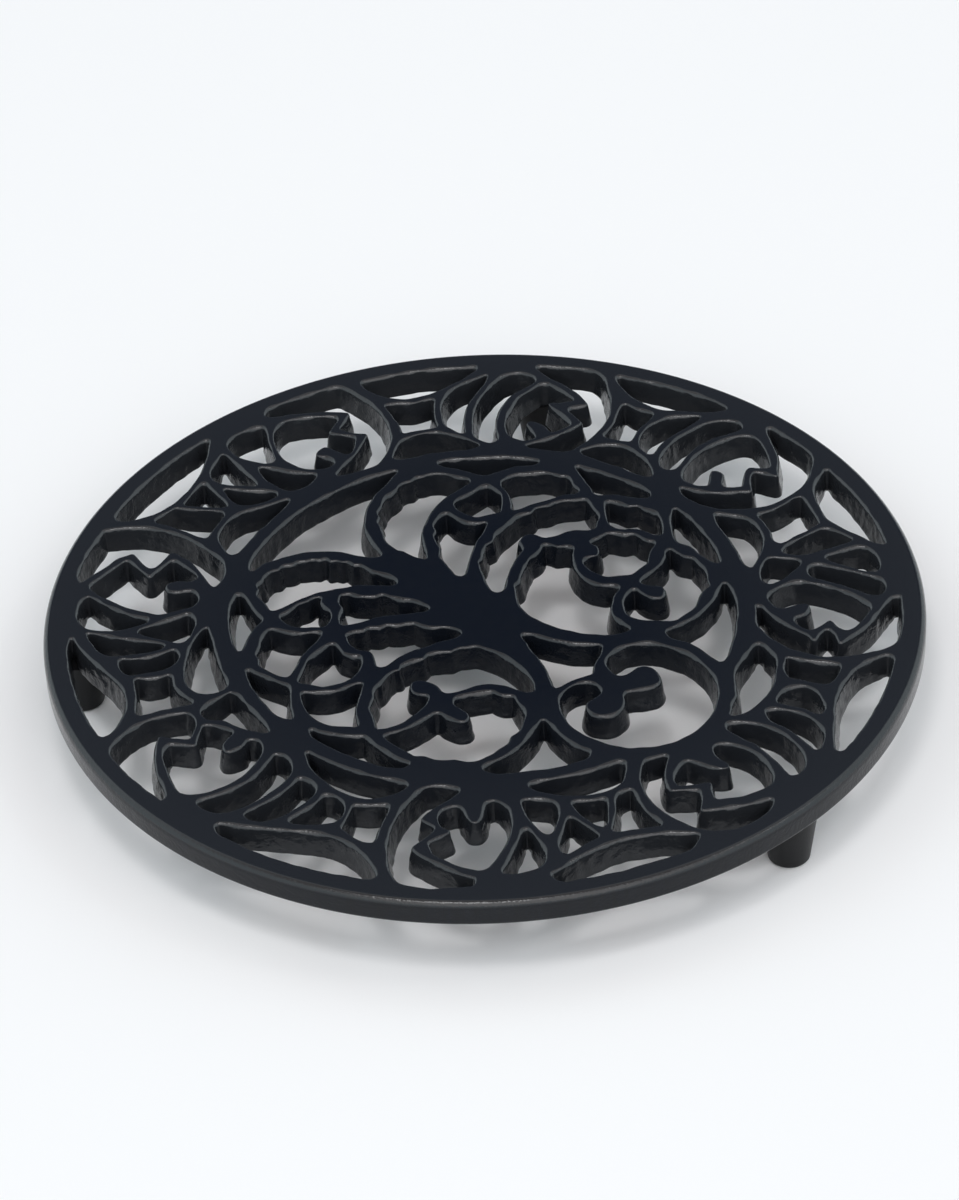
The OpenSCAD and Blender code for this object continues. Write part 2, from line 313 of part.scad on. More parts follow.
// Feathers of the left side, with notched far edges
left_feather_shares = [
    [[-18.3, 48.2, 1], [-17, 49.3], [-15.4, 49.8, 1], [-14.3, 51], [-12.6, 51.4, 1],
     [-11.4, 52], [-9.3, 52.2], [-7, 51.7], [-4.8, 50.5], [-2.8, 49.8], [-1.9, 49.1],
     [-2.1, 47.9], [-4.8, 45.8], [-8, 42.8], [-10.6, 38.8], [-12.6, 33.6],
     [-13.6, 28.5], [-13.1, 23.5], [-12.4, 19.7, 1], [-14.4, 20.6], [-16.4, 22],
     [-17.8, 23.3], [-19.2, 24], [-20.6, 26.1], [-22, 28.2], [-22.3, 30.4],
     [-22.7, 32.6, 1], [-23.4, 34.6], [-22.9, 36.6, 1], [-23.4, 38.4], [-22.6, 40.2, 1],
     [-22.2, 42.2], [-21.2, 44.2, 1], [-20, 45.2], [-19, 46.6, 1]],
    [[-7.6, 36.9, 1], [-6, 35.3], [-4.6, 33.7], [-2.6, 32.6], [-0.2, 32.3], [1.9, 32.7, 1],
     [1, 30.2], [-0.6, 26.6], [-2, 22.5], [-3, 18], [-3.8, 14.2], [-4.8, 13.4],
     [-6.2, 14.1], [-7.3, 16.5], [-8.4, 18.8], [-9.5, 20.3, 1], [-9.3, 23.8],
     [-10.1, 26.6, 1], [-10.5, 28.4], [-10, 30.2, 1], [-10.5, 32.4], [-9.7, 34.5],
     [-8.8, 35.9]],
    [[-48.9, 17.2, 1], [-47.9, 18.1], [-46.5, 18.5, 1], [-45.4, 19.8], [-43.2, 20.1, 1],
     [-42, 21], [-40.3, 21.2, 1], [-38.7, 21.6], [-37, 21.2, 1], [-35.8, 21.6],
     [-34.7, 20.6, 1], [-33.3, 20.8], [-31.8, 20.1, 1], [-30.9, 20.1], [-29.4, 18.8, 1],
     [-28, 18.7], [-26.8, 17.8], [-25.5, 16.3, 1], [-23.6, 15.4], [-21.6, 14.3],
     [-20, 12.9], [-19.8, 11.6], [-21, 11], [-24, 11.2], [-27.5, 11.6], [-31, 11.1],
     [-34, 10.6], [-36.8, 9.8], [-39.2, 8.6], [-42, 7.2], [-45, 5.3], [-47.2, 3.9],
     [-48.3, 4], [-49.2, 5.8], [-50.3, 7.8, 1], [-51.4, 9.6], [-50.9, 11.6, 1],
     [-51.3, 13], [-50.2, 14.5, 1], [-49.8, 15.9]],
    [[-46.4, 1.3, 1], [-44.6, 2.5], [-43.3, 3.9, 1], [-42, 5.4], [-40, 6.3, 1],
     [-38.5, 7.4], [-37, 7.7, 1], [-37.2, 5.6], [-36.4, 3.8, 1], [-35.2, 2.6],
     [-34.8, 0.6], [-35.3, -1.4], [-36.4, -2.7], [-38.4, -3], [-40.8, -3.1],
     [-43, -2.3], [-44.9, -0.8]],
    [[-32.5, 8.1, 1], [-30.6, 8.2], [-28.6, 7.2, 1], [-26.5, 6.9], [-24.2, 6.9, 1],
     [-23, 7.4], [-21.4, 6.6], [-18.6, 5.2, 1], [-16.8, 4.9], [-15, 4], [-13.2, 2.7],
     [-12.6, 1.6], [-13.8, 0.8], [-17, 0.3], [-21, 0.1], [-24.6, -0.5], [-27, -1.6],
     [-30, -2.6], [-32.6, -3.2, 1], [-32.5, 0], [-31.8, 3.2], [-32.6, 5.6]],
    [[-48.6, -3, 1], [-46.6, -3.7], [-44, -4.9], [-41.5, -5.3], [-39, -5.1],
     [-36.9, -5.2, 1], [-37.9, -7.6], [-39.8, -10.6], [-41.6, -13.4], [-42.6, -16.4],
     [-43.8, -19.5], [-45, -20.5], [-46.6, -19.7], [-49.2, -17.5], [-50.7, -16],
     [-50.8, -14], [-51.5, -12], [-50.8, -9.6, 1], [-50.4, -7], [-49.6, -4.8]],
    [[-34.3, -9.2, 1], [-33, -11.4], [-32.2, -13.2, 1], [-30.2, -14.4], [-28.3, -14.7, 1],
     [-28.1, -16.8], [-28.8, -19.2], [-30.2, -21.8, 1], [-32.2, -23], [-35, -24],
     [-37, -24.3], [-39.4, -23.4], [-42.2, -22.6, 1], [-41.4, -20], [-40.6, -17],
     [-39.9, -14.9], [-38, -12.8], [-36, -10.7]],
    [[-31.2, -6.6, 1], [-29.6, -5.7], [-27.2, -5.3, 1], [-26, -4.5], [-23.6, -4.6, 1],
     [-22, -3.8], [-19.6, -4.1, 1], [-17.8, -3.8], [-15.9, -3.6, 1], [-14.4, -4.6],
     [-11.8, -5.6, 1], [-9.6, -5.5], [-7.8, -5.8], [-6, -6.9], [-5.5, -8], [-6.6, -9],
     [-9.4, -10], [-12.8, -11.4], [-15.6, -12.8], [-18, -14], [-20.4, -15.9],
     [-22.2, -17.8], [-23.6, -18.4], [-24.6, -17.8], [-25.1, -15], [-25.9, -12.8],
     [-28.6, -11.8], [-30.4, -9.6]],
    [[-41.5, -26.2, 1], [-39, -26.5], [-36, -26.6], [-33.6, -26.3], [-31, -25],
     [-29.2, -24.1], [-27.7, -24, 1], [-28.2, -26.4], [-29, -29.6], [-29.5, -33],
     [-29.4, -36.5], [-29.1, -39.1, 1], [-31, -38.6], [-34, -38.2], [-35.8, -37.5],
     [-38, -35.9], [-39.6, -34], [-40.8, -31], [-41.4, -28.4]]
];
// Arch with its spiral at the bottom
arch_shares = [
    [[-25, -40.2, 1], [-25.2, -37], [-25.6, -34.8], [-26.3, -33, 1], [-25.8, -31],
     [-25.2, -29.2, 1], [-25.2, -27.2], [-24.7, -25.7, 1], [-23.8, -24.7], [-22.9, -23.2, 1],
     [-22.3, -22], [-21.6, -21.2, 1], [-20.6, -20.3], [-19.5, -20.1, 1], [-18.9, -18.8],
     [-17.6, -17.9, 1], [-16, -17], [-14, -16.6, 1], [-13, -15.2], [-11.6, -14.7, 1],
     [-9.8, -14.5], [-7.8, -14.5, 1], [-6, -13.4], [-4.2, -13.2, 1], [-2.2, -13],
     [-0.4, -13.8, 1], [2, -15.3], [4.5, -17.7], [7, -20.8], [9, -24], [10.2, -27],
     [10.3, -29.8, 1], [8.6, -29.8], [6.8, -28.9], [5.2, -27.7], [3, -26.7],
     [0.5, -26.2], [-2.4, -26.6], [-5, -27.5], [-7.6, -28.6], [-9.2, -28.7],
     [-10.2, -27.8], [-11.1, -26], [-13.2, -24.2], [-15.2, -23.7], [-16.9, -24.5],
     [-17.3, -26.3], [-16.6, -28.3], [-14.8, -29.2], [-13.3, -29.6, 1], [-13.6, -31],
     [-14.6, -33], [-16, -35], [-17.3, -36.3, 1], [-20, -38.8], [-22.6, -39.9]],
    [[-6.4, -30.5], [-4.4, -30, 1], [-1.4, -29.5], [1, -29.3, 1], [2.2, -30.2], [3.6, -30.9],
     [5.6, -31.2, 1], [6.4, -33.4], [7.2, -35.2], [7.8, -37.4], [7.5, -40], [6.6, -42.6, 1],
     [5.4, -44.1], [4.6, -44.9, 1], [4, -46.6], [2.7, -47.9, 1], [1.4, -49], [0, -50.6, 1],
     [-2, -51.8], [-5.2, -52.6], [-8, -51.8], [-10.4, -51.7], [-12.4, -51.4, 1],
     [-14.6, -50], [-16.8, -49.8, 1], [-18.6, -48], [-20.6, -46], [-22.4, -44],
     [-23.2, -42.8, 1], [-22.4, -42.2], [-20, -41.3], [-17.6, -40.2], [-15.4, -38.6],
     [-13.4, -37], [-12, -35.8], [-10.8, -35.9], [-9.6, -37.2], [-8.2, -38.4],
     [-6.6, -39.2], [-5, -39], [-4.3, -37.6], [-4.9, -35.6], [-6.2, -34],
     [-7.4, -33], [-7.4, -31.4]],
    [[11.9, -39.3, 1], [13.2, -41.4], [14.6, -44], [16.6, -46.9], [19, -49.6],
     [21.6, -51.3, 1], [21, -53], [18.6, -54.6], [14.6, -55.9], [9.6, -56.5],
     [5, -57], [0.6, -57], [-2.4, -55.6, 1], [0, -53.6], [2.8, -52], [5.4, -49.8],
     [7.6, -46.9], [9.4, -44], [10.7, -41.4]],
    [[8.4, -9.4, 1], [10.6, -9.7], [13.4, -11.2], [16.4, -12.6], [20, -13.8],
     [23.4, -14.3], [26.2, -14.5, 1], [25.6, -17.2], [24.4, -20], [23.8, -22.4],
     [23.5, -24.5, 1], [21.6, -25.2], [19.4, -26.2], [17.2, -27.8], [15.4, -28.7],
     [14.6, -27.4], [13.8, -24], [12.6, -20], [11, -16.4], [9.6, -13], [8.6, -11]]
];
// Round opening at the lower right, with the trefoil scroll that grows into it
trefoil_shares = [
    [[29.2, -17], [31, -15.6], [33.6, -14.9], [36.4, -14.8], [39.4, -15.7], [42.4, -17.3],
     [45.2, -19.4], [47.6, -22.3], [49.5, -25.6], [50.5, -28.6], [50.9, -32], [50.6, -35],
     [49.8, -38.6], [48, -42.3], [45.4, -45.5], [42, -48.2], [38, -50], [34, -50.7],
     [30.6, -50.6], [26.6, -49.3], [22.6, -46.9], [19.4, -44.1], [17.5, -41.4],
     [16.6, -38.4], [16, -35.4], [16, -32.8], [17.2, -30.2], [19.2, -28.3],
     [21.6, -27.6], [23.8, -28.3], [24.9, -30.2], [24.6, -31.6], [23, -33.1],
     [21.8, -34.6], [21.5, -36.6], [22.3, -38.4], [24, -39.5], [26, -39.8],
     [28, -39.1], [29.6, -37.4], [30.3, -35], [30.2, -32.8], [30.8, -31.6, 1],
     [33.4, -31.1], [36.4, -30.5], [38.2, -29.3], [38.7, -27.6], [38, -25],
     [36.6, -23.2], [35, -22.6], [33.4, -23], [31.6, -24.6], [30, -25.5],
     [28.6, -25], [27.4, -23], [26.9, -20.8], [27.6, -18.6]]
];
// Leaves and spiral of the right side
right_leaf_shares = [
    [[-5.6, 39.8], [-5.3, 41], [-4, 42.3], [-2.4, 43.2], [-0.8, 44.6], [1, 46.1],
     [2.2, 46.6, 1], [3.6, 45.2], [5.1, 43.3], [5.4, 41.6], [5.2, 39], [4.8, 36.5, 1],
     [2.5, 35.8], [0.6, 35.3], [-1, 35], [-3, 36.4], [-4.8, 38.2]],
    [[5.6, 48, 1], [7.4, 49.5], [9.4, 50.3], [12, 50.4, 1], [14, 50.5], [16, 50.5, 1],
     [17.6, 49.9], [19.4, 48.9, 1], [21, 48.6], [21.7, 47.2], [22.3, 45], [23.4, 43.2],
     [22.4, 42.2], [19.8, 41.8], [17.2, 40.7], [14.8, 39.8], [12, 38.7], [9.6, 37.5],
     [7.8, 36.9, 1], [7.9, 39], [7.6, 41.4], [6.8, 44], [5.7, 46.2]],
    [[23.2, 52.8, 1], [25.2, 51.4], [28.2, 50.1], [31.5, 48], [35, 45.6], [38, 43.2],
     [39.9, 41, 1], [40, 39.7], [39.2, 39.1, 1], [35.4, 39.9], [32, 40.9], [28.2, 41.2],
     [27, 42.2], [26.2, 44.6], [25.2, 47.6], [24.2, 50]],
    [[8.9, 34.2, 1], [10.4, 35], [12.2, 35.4, 1], [13.2, 36.9], [15, 37.6], [16.4, 37.9, 1],
     [18, 38.9], [19.8, 39.4, 1], [22.4, 39.4], [25, 39.6, 1], [26, 37], [27.3, 34],
     [27.5, 32.6, 1], [27, 30.8], [26.8, 28.4, 1], [25, 28.1], [22.4, 28.2], [19.6, 27.6],
     [17.4, 26.7], [15.2, 25.9], [13.8, 26.5], [12.6, 27.4], [11, 27.6], [9.6, 26.4],
     [8.8, 24.4], [9.4, 21.8], [8.3, 19.4], [7.2, 16.8], [6.3, 14], [5.5, 11],
     [5, 8.6], [4.3, 6.9], [3.2, 6.5], [2, 7.4], [1.2, 9.6], [0.4, 13], [-0.2, 15.8],
     [-0.6, 17.8, 1], [0.3, 19.2], [0.7, 21.2], [1.3, 24, 1], [2.8, 25.2], [3.6, 27.4],
     [5.1, 29.5, 1], [6.3, 31], [7.7, 32.6]],
    [[14.6, 23.2, 1], [16.2, 22.8], [17.6, 22, 1], [19.4, 22.1], [21.3, 21.5, 1],
     [20.9, 19], [20.8, 16], [21.5, 13], [22.8, 10.2], [24.8, 8.1], [27.4, 6.9],
     [29.6, 6.7], [31, 6, 1], [29.8, 3.6], [29, 0.8], [28.7, -2.2], [29.4, -5.2],
     [31, -7.3], [32.9, -9.4, 1], [31, -10.3], [28, -10.7], [24.4, -10.4], [20.4, -9.2],
     [16.5, -7.3], [12.8, -4.8], [10.2, -2], [8.5, 0.8], [7.8, 4], [7.6, 6.4],
     [7.6, 8.4, 1], [8.6, 9.8], [9, 12], [9.6, 14, 1], [10.3, 15.8], [11.2, 18.1, 1],
     [12.6, 19.4], [13.8, 21.2]],
    [[29.8, 38.4, 1], [31.6, 37.8], [33.2, 37], [34.6, 36, 1], [36.8, 36], [38.2, 34.8, 1],
     [39.6, 33.8], [41.1, 32.7, 1], [41.8, 30.6], [42, 27.8], [41.7, 25.2, 1],
     [40.2, 25.2], [38, 26.6], [35.6, 27.6], [32.6, 28], [30.2, 29.4], [29.6, 32.4],
     [29.5, 35.4]],
    [[25.6, 23.2], [27.4, 24.7], [29.4, 26.2, 1], [31.2, 26], [33.4, 25.3, 1], [35.4, 25.4],
     [36.9, 24], [38.4, 22.6, 1], [40.1, 22, 1], [39, 19.6], [38.2, 16.6], [37.8, 14.6, 1],
     [36.4, 13.2], [35, 11.6], [33.8, 10.7], [31, 10.4], [28.4, 10.4], [26, 12],
     [24.4, 13.8], [23.5, 15.6], [24, 17.1], [25.2, 17.8], [26.6, 18.1], [27.3, 20],
     [27, 21.8]],
    [[45.2, 35, 1], [47, 32.7], [49, 29.6], [51, 25.4], [52.8, 21.2], [54, 17.4],
     [54.4, 13.4, 1], [52.8, 14.2], [50.6, 16.6], [48.8, 19.2], [47.2, 20.8],
     [45.6, 21.9], [44.7, 24], [44.5, 28], [44.6, 32]],
    [[43.4, 19.3, 1], [44.4, 18.1], [46.2, 16.3], [48.5, 15.2, 1], [49.4, 13.4],
     [50.6, 11.4], [51.1, 9], [51.2, 6.8], [51.6, 4.8, 1], [50.2, 3.6], [49.2, 2.3],
     [48.6, 0.2], [48, -1.8], [46.6, -3.6], [44.8, -5.2], [43.2, -6.5], [41.4, -6.7],
     [38, -6.6], [35.4, -6], [33.2, -4.6], [32.2, -2.4], [31.9, 0.4], [32.7, 3],
     [34.4, 5.2, 1], [35.6, 3.8], [37.2, 2.1], [39, 1.3], [40.8, 1.6], [41.6, 3.4],
     [41, 5.2], [39.4, 6.1], [37.6, 6.4], [36.2, 7.7], [37.2, 9.4], [39.6, 11.8],
     [41.3, 14], [42.3, 16.4], [42.5, 18.2]],
    [[55, 6.2, 1], [56, 4], [56.8, 0.6], [57.1, -3.4], [56.8, -7.4], [56.1, -12],
     [55.1, -16], [54, -20], [53, -22], [52, -22.2], [50.6, -20.6], [48.6, -18.2],
     [46.6, -15.8], [44.2, -14.2], [42, -13], [40.8, -11.4], [41.2, -10.4, 1],
     [43.6, -9], [46.4, -7.3], [49, -4.9], [51.2, -2], [53, 1.2], [54, 4]]
];
medallion_shares = concat(
    crescent_shares, left_feather_shares, arch_shares, trefoil_shares, right_leaf_shares
);

// Place of a border point, from degrees clockwise and its distance from the middle
function polar_place(point, turn) = concat(
    [point[1] * sin(point[0] + turn), point[1] * cos(point[0] + turn)],
    len(point) > 2 ? [1] : []
);

function is_corner(point) = len(point) > 2;
function flat(point) = [point[0], point[1]];

// Direction of the smooth curve at a point, times the length of the stretch beside it.
// A corner takes the direction of the stretch itself.
function heading(before, point, after, stretch) = let (
    into = norm(flat(point) - flat(before)),
    onward = norm(flat(after) - flat(point))
) (flat(after) - flat(before)) * (stretch / (into + onward));

// Angle between two directions
function turn_between(a, b) = acos(max(-1, min(1, a * b / (norm(a) * norm(b)))));

// Points of the smooth curve from point 1 to point 2, without point 2
function curve_stretch(point_0, point_1, point_2, point_3) = let (
    start = flat(point_1),
    end = flat(point_2),
    stretch = norm(end - start),
    leave = is_corner(point_1) ? end - start : heading(point_0, point_1, point_2, stretch),
    arrive = is_corner(point_2) ? end - start : heading(point_1, point_2, point_3, stretch),
    straight = is_corner(point_1) && is_corner(point_2),
    turn = turn_between(leave, end - start) + turn_between(end - start, arrive),
    steps = straight ? 1 : max(1, ceil(stretch / facet_share), ceil(turn / turn_step))
) [
    for (step = [0 : steps - 1]) let (u = step / steps)
        start * (2 * u * u * u - 3 * u * u + 1) + leave * (u * u * u - 2 * u * u + u)
        + end * (3 * u * u - 2 * u * u * u) + arrive * (u * u * u - u * u)
];

// Closed outline through all the points of one opening
function closed_curve(points) = let (count = len(points)) [
    for (i = [0 : count - 1])
        each curve_stretch(
            points[(i + count - 1) % count], points[i],
            points[(i + 1) % count], points[(i + 2) % count]
        )
];

// Outlines of all the openings, in hundredths of the plate's radius
border_outlines = [
    for (i = [0 : len(panel_shares) - 1])
        for (opening = panel_shares[i])
            closed_curve([for (point = opening) polar_place(point, i * 360 / len(panel_shares))])
];
medallion_outlines = [for (opening = medallion_shares) closed_curve(opening)];

// Flat openwork inside the rim, pierced right through
module openwork() {
    color("#1b1c1f") translate([0, 0, plate_bottom_z]) linear_extrude(plate_t) difference() {
        circle(rim_inner_r);
        for (outline = concat(border_outlines, medallion_outlines))
            polygon(outline * plate_r / 100);
    }
}

// Quarter of a disc that rounds an outer edge, upwards or downwards from its centre
module edge_quarter(r, up) {
    intersection() {
        circle(r);
        translate([0, up ? 0 : -r]) square(r);
    }
}

// Rim of the casting, with rounded outer edges
module rim() {
    top_x = plate_r - rim_top_r;
    bottom_x = plate_r - rim_bottom_r;
    color("#1b1c1f") rotate_extrude() {
        translate([rim_inner_r, plate_bottom_z]) square([bottom_x - rim_inner_r, plate_t / 2]);
        translate([rim_inner_r, stand_h - plate_t / 2]) square([top_x - rim_inner_r, plate_t / 2]);
        translate([rim_inner_r, plate_bottom_z + rim_bottom_r])
            square([plate_r - rim_inner_r, plate_t - rim_bottom_r - rim_top_r]);
        translate([top_x, stand_h - rim_top_r]) edge_quarter(rim_top_r, true);
        translate([bottom_x, plate_bottom_z + rim_bottom_r]) edge_quarter(rim_bottom_r, false);
    }
}

// Moves its children under the plate to a foot's place
module at_foot(angle) {
    rotate(-angle) translate([0, foot_circle_r, 0]) children();
}

// Solid of a peg, from the rubber under its tip up to the underside of the plate
module peg_solid() {
    translate([0, 0, foot_floor_t + peg_tip_h])
        cylinder(h = peg_len - peg_tip_h, d = peg_d);
    translate([0, 0, foot_floor_t])
        cylinder(h = peg_tip_h, d1 = peg_d - peg_tip_h, d2 = peg_d);
}

// Cast peg that a foot is pressed on
module cast_peg(angle) {
    color("#1b1c1f") at_foot(angle) peg_solid();
}

// Rubber foot: a tapered stub with a blind bore for its peg
module rubber_foot(angle) {
    straight_x = foot_base_d / 2 - foot_edge_r;
    color("#232325") at_foot(angle) difference() {
        rotate_extrude() {
            polygon([
                [0, foot_edge_r], [foot_base_d / 2, foot_edge_r],
                [foot_top_d / 2, plate_bottom_z], [0, plate_bottom_z]
            ]);
            square([straight_x, foot_edge_r]);
            translate([straight_x, foot_edge_r]) edge_quarter(foot_edge_r, false);
        }
        peg_solid();
        translate([0, 0, plate_bottom_z - overrun]) cylinder(h = 2 * overrun, d = peg_d);
    }
}

module peg_right() { cast_peg(foot_right_angle); }
module peg_left() { cast_peg(foot_left_angle); }
module peg_back() { cast_peg(foot_back_angle); }
module foot_right() { rubber_foot(foot_right_angle); }
module foot_left() { rubber_foot(foot_left_angle); }
module foot_back() { rubber_foot(foot_back_angle); }

openwork();
rim();
peg_right();
peg_left();
peg_back();
foot_right();
foot_left();
foot_back();
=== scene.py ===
import math
import bpy
import numpy as np
from mathutils import Matrix, Vector, geometry, kdtree, noise


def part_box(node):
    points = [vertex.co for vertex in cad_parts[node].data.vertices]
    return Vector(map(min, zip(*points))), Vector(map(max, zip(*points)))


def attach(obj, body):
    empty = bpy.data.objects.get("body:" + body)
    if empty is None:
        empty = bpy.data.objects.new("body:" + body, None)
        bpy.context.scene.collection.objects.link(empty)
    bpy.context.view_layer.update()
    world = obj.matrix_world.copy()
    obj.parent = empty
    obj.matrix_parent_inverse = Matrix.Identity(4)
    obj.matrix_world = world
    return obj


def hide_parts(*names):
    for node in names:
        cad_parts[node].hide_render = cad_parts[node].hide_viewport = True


# Openwork iron trivet on three rubber feet, in metres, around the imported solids
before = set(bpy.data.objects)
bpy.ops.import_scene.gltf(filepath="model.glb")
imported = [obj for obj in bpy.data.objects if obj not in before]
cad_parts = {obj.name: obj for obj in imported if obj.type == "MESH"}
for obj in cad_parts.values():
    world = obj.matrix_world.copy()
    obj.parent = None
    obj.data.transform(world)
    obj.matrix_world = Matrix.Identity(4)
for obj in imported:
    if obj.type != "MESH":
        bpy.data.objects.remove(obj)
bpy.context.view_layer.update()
scene = bpy.context.scene
scene.view_settings.view_transform = "Standard"
print("frame loaded:", ", ".join(sorted(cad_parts)))

photoCamera = {
    "place": (-0.00085, -0.9089, 0.7430),
    "lookDown": 38.39,  # degrees below the horizon
    "roll": -2.78,      # degrees, the picture leans a little
    "lens": 153.7,      # mm, on a 36 mm sensor
    "sensor": 36.0,
    "clip": (0.05, 50),
}

studio = {
    "sideRoom": (0.90, 1.01, 1.05, 1),       # soft light from all round
    "ceiling": (0.50, 0.45, 0.43, 1),        # right above, where less light comes from
    "ceilingFrom": (0.70, 0.95),             # cosines, where it begins and where it is full
    "window": (1.77, 1.74, 1.745, 1),        # the main light, wide and soft, from the front
    "windowHeading": (0.112, -0.633, 0.766),
    "windowReach": (0.75, 0.95),
    "darkRoom": (0.025, 0.038, 0.075, 1),    # unlit part of the room, behind the table
    "darkHeading": (0.0, 0.883, 0.469),
    "darkReach": (0.85, 0.945),
    # two lamps, in metres and watts, for the glints along the edges
    "rightBox": {"place": (0.75, 0.0, 1.10), "size": (0.13, 0.13), "power": 0.45},
    "topBox": {"place": (-0.12, -0.32, 1.25), "size": (0.28, 0.28), "power": 2.2},
}

table = {
    "halfSide": 14.0,
    "colour": (0.904, 0.896, 0.903, 1),
    "roughness": 0.6,
    "specular": 0.1,
}


def freshMaterial(name):
    material = bpy.data.materials.new(name)
    material.use_nodes = True
    tree = material.node_tree
    return material, tree.nodes, tree.links, tree.nodes["Principled BSDF"]


def blendColours(nodes, links, factor, first, second):
    mix = nodes.new("ShaderNodeMix")
    mix.data_type = "RGBA"
    for socket, paint in ((mix.inputs[6], first), (mix.inputs[7], second)):
        if isinstance(paint, tuple):
            socket.default_value = paint
        else:
            links.new(paint, socket)
    links.new(factor, mix.inputs[0])
    return mix.outputs[2]


def addCamera(settings):
    lens = bpy.data.cameras.new("photoCamera")
    lens.lens = settings["lens"]
    lens.sensor_width = settings["sensor"]
    lens.clip_start, lens.clip_end = settings["clip"]
    camera = bpy.data.objects.new("photoCamera", lens)
    scene.collection.objects.link(camera)
    aim = Matrix.Rotation(math.radians(90 - settings["lookDown"]), 4, "X")
    lean = Matrix.Rotation(math.radians(settings["roll"]), 4, "Z")
    camera.matrix_world = Matrix.Translation(settings["place"]) @ aim @ lean
    scene.camera = camera


def addSoftbox(name, settings):
    light = bpy.data.lights.new(name, "AREA")
    light.shape = "RECTANGLE"
    light.size, light.size_y = settings["size"]
    light.energy = settings["power"]
    box = bpy.data.objects.new(name, light)
    scene.collection.objects.link(box)
    box.location = settings["place"]
    toTrivet = -Vector(settings["place"])
    box.rotation_euler = toTrivet.to_track_quat("-Z", "Y").to_euler()


def lightWorld(settings):
    world = bpy.data.worlds.new("studioWorld")
    scene.world = world
    world.use_nodes = True
    nodes, links = world.node_tree.nodes, world.node_tree.links
    nodes.clear()
    where = nodes.new("ShaderNodeTexCoord")
    split = nodes.new("ShaderNodeSeparateXYZ")
    links.new(where.outputs["Generated"], split.inputs[0])

    def towards(heading):
        along = nodes.new("ShaderNodeVectorMath")
        along.operation = "DOT_PRODUCT"
        along.inputs[1].default_value = heading
        links.new(where.outputs["Generated"], along.inputs[0])
        return along.outputs["Value"]

    def share(value, reach):
        mapped = nodes.new("ShaderNodeMapRange")
        mapped.interpolation_type = "SMOOTHSTEP"
        mapped.inputs["From Min"].default_value = reach[0]
        mapped.inputs["From Max"].default_value = reach[1]
        links.new(value, mapped.inputs["Value"])
        return mapped.outputs["Result"]

    overhead = share(split.outputs["Z"], settings["ceilingFrom"])
    room = blendColours(nodes, links, overhead, settings["sideRoom"], settings["ceiling"])
    bright = share(towards(settings["windowHeading"]), settings["windowReach"])
    lit = blendColours(nodes, links, bright, room, settings["window"])
    unlit = share(towards(settings["darkHeading"]), settings["darkReach"])
    whole = blendColours(nodes, links, unlit, lit, settings["darkRoom"])
    back = nodes.new("ShaderNodeBackground")
    out = nodes.new("ShaderNodeOutputWorld")
    links.new(whole, back.inputs["Color"])
    links.new(back.outputs[0], out.inputs["Surface"])


def addTable(settings):
    half = settings["halfSide"]
    mesh = bpy.data.meshes.new("tableTop")
    corners = [(-half, -half, 0), (half, -half, 0), (half, half, 0), (-half, half, 0)]
    mesh.from_pydata(corners, [], [(0, 1, 2, 3)])
    top = bpy.data.objects.new("tableTop", mesh)
    scene.collection.objects.link(top)
    paint, _, _, shader = freshMaterial("paleTable")
    shader.inputs["Base Color"].default_value = settings["colour"]
    shader.inputs["Roughness"].default_value = settings["roughness"]
    shader.inputs["Specular IOR Level"].default_value = settings["specular"]
    mesh.materials.append(paint)


addCamera(photoCamera)
lightWorld(studio)
for box in ("rightBox", "topBox"):
    addSoftbox(box, studio[box])
addTable(table)
print("camera, light and table ready")

enamel = {
    "colour": (0.0050, 0.0064, 0.0098, 1),
    "dustColour": (0.0062, 0.0075, 0.0105, 1),
    "paintedGlareColour": (0.0175, 0.0190, 0.0220, 1),   # painted light: greyer towards the rim, a painted glare
    "paintedGlareFrom": (0.030, 0.098),                  # metres from the middle, none and full
    "streakColour": (0.0050, 0.0056, 0.0070, 1),    # brush streaks on the rim's side
    "streakFrom": (0.35, 0.75),
    "streakScale": 1100,
    "streakDetail": 3,
    "streakStretch": (1, 1, 0.12),
    "sideFrom": (0.0985, 0.0995),                   # metres from the middle, to tell the side
    "sideBump": 0.25,          # how much of the bump is left there
    "roughness": (0.09, 0.18),
    "specular": 0.62,
    "wallSpecular": 0.24,      # duller where the cloth never polishes it
    "wallBump": 0.9,
    "topBump": 0.05,
    "grainScale": 1900,        # sand grain under the enamel
    "grainDetail": 3,
    "grainDepth": 0.00010,
    "lumpScale": 400,          # and coarser lumps
    "lumpDetail": 1.5,
    "lumpDepth": 0.00032,
    # how far the surface faces up where a wall's look ends and the top's is full
    "specularTurn": (0.15, 0.5),
    "grainTurn": (0.90, 0.995),
    "lumpTurn": (0.35, 0.985),
}

rubber = {
    "colour": (0.0045, 0.0048, 0.0055, 1),
    "wornColour": (0.0080, 0.0083, 0.0092, 1),
    "roughness": (0.36, 0.48),
    "specular": 0.22,
    "grainScale": 2600,
    "grainDetail": 4,
    "grainDepth": 0.00004,
}


def addNoise(nodes, links, where, scale, detail, stretch=(1, 1, 1)):
    stretched = nodes.new("ShaderNodeVectorMath")
    stretched.operation = "MULTIPLY"
    stretched.inputs[1].default_value = stretch
    speckle = nodes.new("ShaderNodeTexNoise")
    speckle.inputs["Scale"].default_value = scale
    speckle.inputs["Detail"].default_value = detail
    links.new(where.outputs["Object"], stretched.inputs[0])
    links.new(stretched.outputs[0], speckle.inputs["Vector"])
    return speckle.outputs["Fac"]


